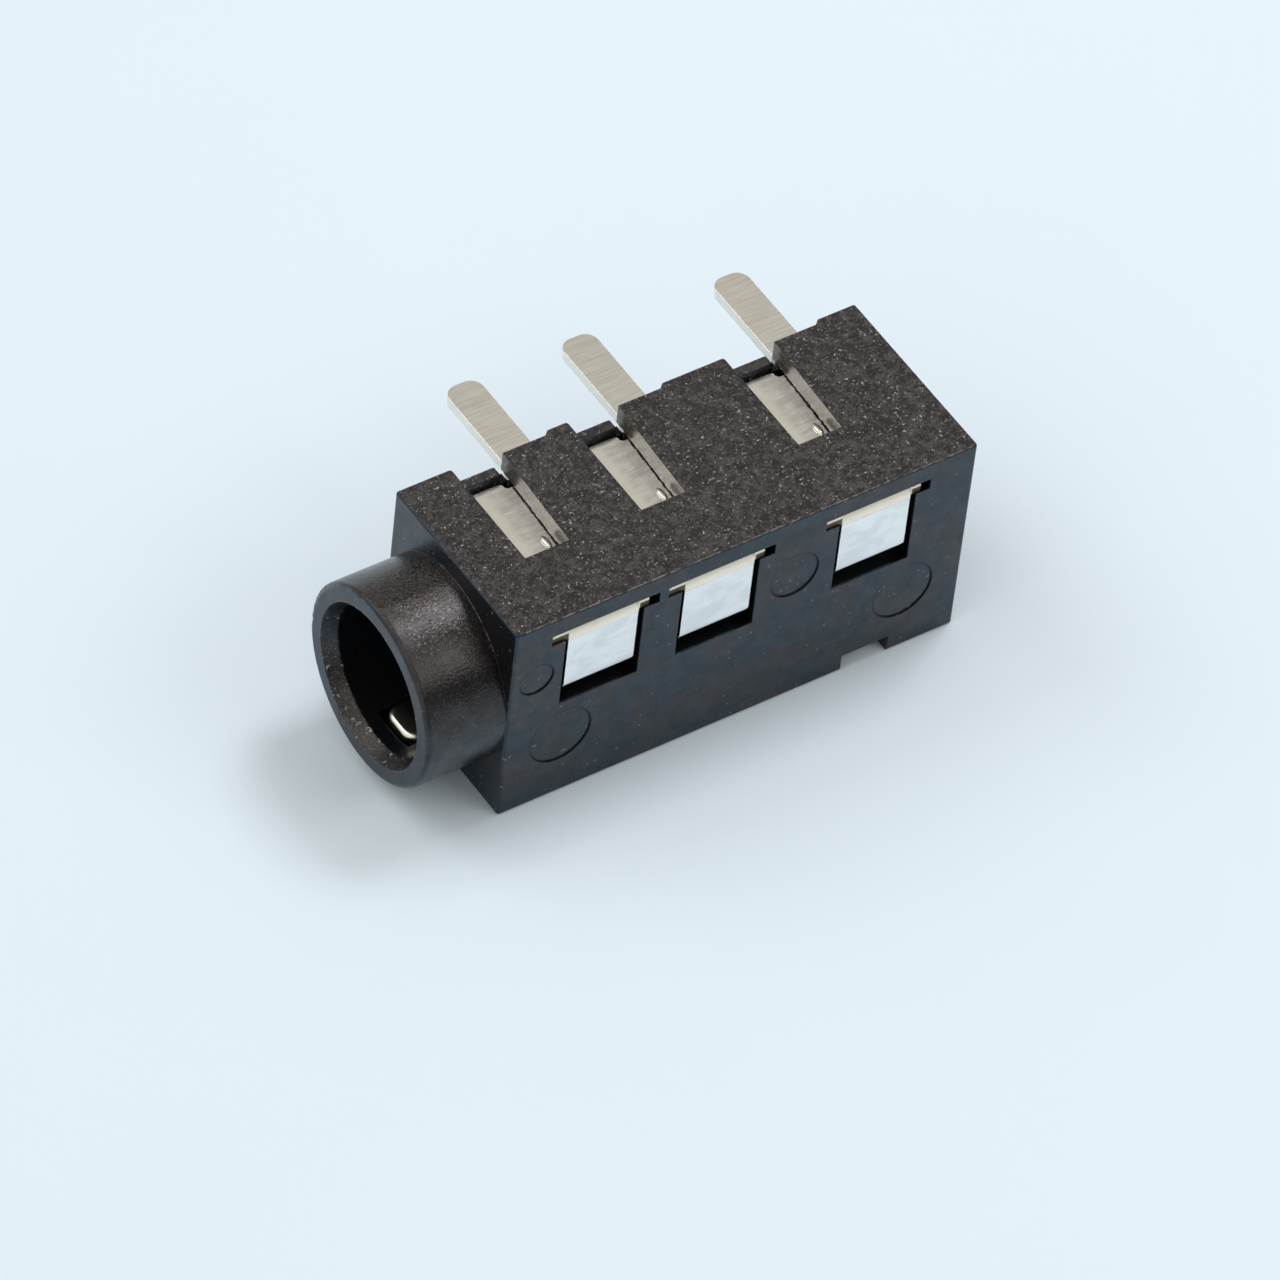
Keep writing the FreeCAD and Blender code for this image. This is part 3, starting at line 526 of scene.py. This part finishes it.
def ring_of_corners(body, middle, turn, size):
    """Corners of a six-sided ring round a point in millimetres."""
    sides = 6
    corners = []
    for side in range(sides):
        angle = side * math.tau / sides
        corner = middle + turn @ Vector((math.cos(angle), math.sin(angle), 0.0)) * size
        corners.append(body.verts.new(corner * MM))
    return corners


def bead(name, line, thickness, seed, material):
    """Thin ragged tube along a line of points in millimetres, with tapered ends."""
    draw = random.Random(seed)
    mesh = bpy.data.meshes.new(name)
    body = bmesh.new()
    points = [Vector(point) for point in line]
    last = len(points) - 1
    rings = []
    for index, point in enumerate(points):
        ahead = points[min(index + 1, last)] - points[max(index - 1, 0)]
        taper = 0.3 if index in (0, last) else 1.0
        size = thickness * draw.uniform(0.55, 1.25) * taper
        rings.append(ring_of_corners(body, point, ahead.to_track_quat("Z", "Y"), size))
    for first, second in zip(rings, rings[1:]):
        for side in range(len(first)):
            after = (side + 1) % len(first)
            body.faces.new((first[side], first[after], second[after], second[side]))
    body.faces.new(reversed(rings[0]))
    body.faces.new(rings[-1])
    bmesh.ops.recalc_face_normals(body, faces=body.faces)
    body.to_mesh(mesh)
    body.free()
    for face in mesh.polygons:
        face.use_smooth = True
    mesh.materials.append(material)
    piece = bpy.data.objects.new(name, mesh)
    bpy.context.scene.collection.objects.link(piece)
    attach(piece, "root")


def run_of_points(start, end, spacing):
    start, end = Vector(start), Vector(end)
    count = max(2, int((end - start).length / spacing))
    return [start.lerp(end, index / count) for index in range(count + 1)]


def upper_edge_line():
    inset = 0.018
    end_gap = 0.06
    start = (end_gap, WINDOW_FACE + inset, TOP - inset)
    end = (BODY_LENGTH - end_gap, WINDOW_FACE + inset, TOP - inset)
    return run_of_points(start, end, 0.07)


def barrel_root_line():
    """Points a degree apart round the barrel's root, from 14 degrees on the board side of its top."""
    radius = BARREL_RADIUS + 0.002
    in_front = -0.008
    angles = [math.radians(-14.0 + degree) for degree in range(61)]
    return [(in_front, -math.sin(angle) * radius, math.cos(angle) * radius) for angle in angles]


def slot_wall_line(centre):
    """The lower edge of a slot's sloping wall."""
    height = SKIN_UNDER + 0.01
    return run_of_points((centre + 0.205, -0.52, height), (centre + 0.335, 2.2, height), 0.09)


# Painted highlights: the flash is painted far paler than the plastic, and palest along the lower edges of
# the slot walls.
flash = flash_with_painted_highlight("flash_with_painted_highlight", 0.13)
bright_flash = flash_with_painted_highlight("bright_flash_with_painted_highlight", 0.75)
bead("flash_upper_edge", upper_edge_line(), 0.020, 3, flash)
bead("flash_barrel_root", barrel_root_line(), 0.011, 5, flash)
for number, centre in enumerate(WINDOW_CENTRES, start=1):
    bead(f"flash_slot_wall_{number}", slot_wall_line(centre), 0.017, 10 + number, bright_flash)


# Floor, world and lamps

def make_floor():
    half = 400.0 * MM
    mesh = bpy.data.meshes.new("floor")
    corners = [(-half, -half), (half, -half), (half, half), (-half, half)]
    mesh.from_pydata([(x, y, UNDERSIDE * MM) for x, y in corners], [], [(0, 1, 2, 3)])
    floor = bpy.data.objects.new("floor", mesh)
    bpy.context.scene.collection.objects.link(floor)
    material, nodes = start_material("floor_paper")
    place, _ = millimetre_place(nodes)
    tone = nodes.noise(place, 0.15, detail=2.0)
    colour = nodes.mix_colour(tone, (0.68, 0.79, 0.89, 1.0), (0.69, 0.80, 0.90, 1.0))
    nodes.principled(Base_Color=colour, Roughness=0.8)
    mesh.materials.append(material)


def make_world():
    """Room light: pale at the horizon, dimmer higher up, dark low in front and light on the left."""
    world = bpy.data.worlds.new("studio")
    bpy.context.scene.world = world
    world.use_nodes = True
    nodes = Nodes(world.node_tree)
    coordinates = nodes.tree.nodes.new("ShaderNodeTexCoord")
    side, depth, height = nodes.split(coordinates.outputs["Generated"])
    ramp = nodes.tree.nodes.new("ShaderNodeValToRGB")
    stops = (
        (0.00, (0.82, 0.86, 0.90, 1.0)),
        (0.12, (0.56, 0.57, 0.58, 1.0)),
        (0.35, (0.36, 0.35, 0.33, 1.0)),
        (0.70, (0.47, 0.45, 0.395, 1.0)),
        (1.00, (0.38, 0.37, 0.35, 1.0)),
    )
    for _ in range(len(stops) - 2):
        ramp.color_ramp.elements.new(0.5)
    for element, (position, colour) in zip(ramp.color_ramp.elements, stops):
        element.position = position
        element.color = colour
    nodes.plug(ramp.inputs[0], height)
    dark_side = nodes.times(nodes.step(height, 0.55, 0.35), nodes.step(depth, -0.45, -0.75))
    light_side = nodes.times(nodes.step(side, -0.15, -0.55), nodes.step(height, 0.05, 0.20))
    strength = nodes.mix(dark_side, nodes.mix(light_side, 1.0, 2.5), 0.2)
    background = nodes.add("ShaderNodeBackground", {"Color": ramp.outputs[0], "Strength": strength})
    nodes.add("ShaderNodeOutputWorld", {"Surface": background})


def softbox(name, towards, size, level, colour=(1.0, 1.0, 1.0)):
    """Lamp of a width and a depth seen from the part in one direction, as bright as level times white."""
    part_middle = Vector((5.0, 0.0, 0.0))
    distance = 260.0
    width, depth = size
    lamp = bpy.data.lights.new(name, "AREA")
    lamp.shape = "RECTANGLE"
    lamp.size = width * MM
    lamp.size_y = depth * MM
    lamp.energy = level * math.pi * width * depth * MM ** 2
    lamp.color = colour
    box = bpy.data.objects.new(name, lamp)
    away = Vector(towards).normalized()
    wide = (Vector((1.0, 0.0, 0.0)) - away * away.x).normalized()
    deep = away.cross(wide)
    place = (part_middle + away * distance) * MM
    box.matrix_world = Matrix.Translation(place) @ Matrix((wide, deep, away)).transposed().to_4x4()
    bpy.context.scene.collection.objects.link(box)


make_floor()
make_world()
softbox("softbox_above", (-0.16, 0.04, 0.93), (300.0, 120.0), 0.75, (1.0, 0.985, 0.97))
softbox("softbox_right", (0.42, 0.11, 0.90), (70.0, 84.0), 11.0, (1.0, 0.95, 0.96))
softbox("softbox_behind", (-0.42, 0.54, 0.73), (120.0, 120.0), 2.2)
softbox("softbox_front", (0.42, -0.60, 0.68), (160.0, 95.0), 2.6, (1.0, 0.98, 0.95))
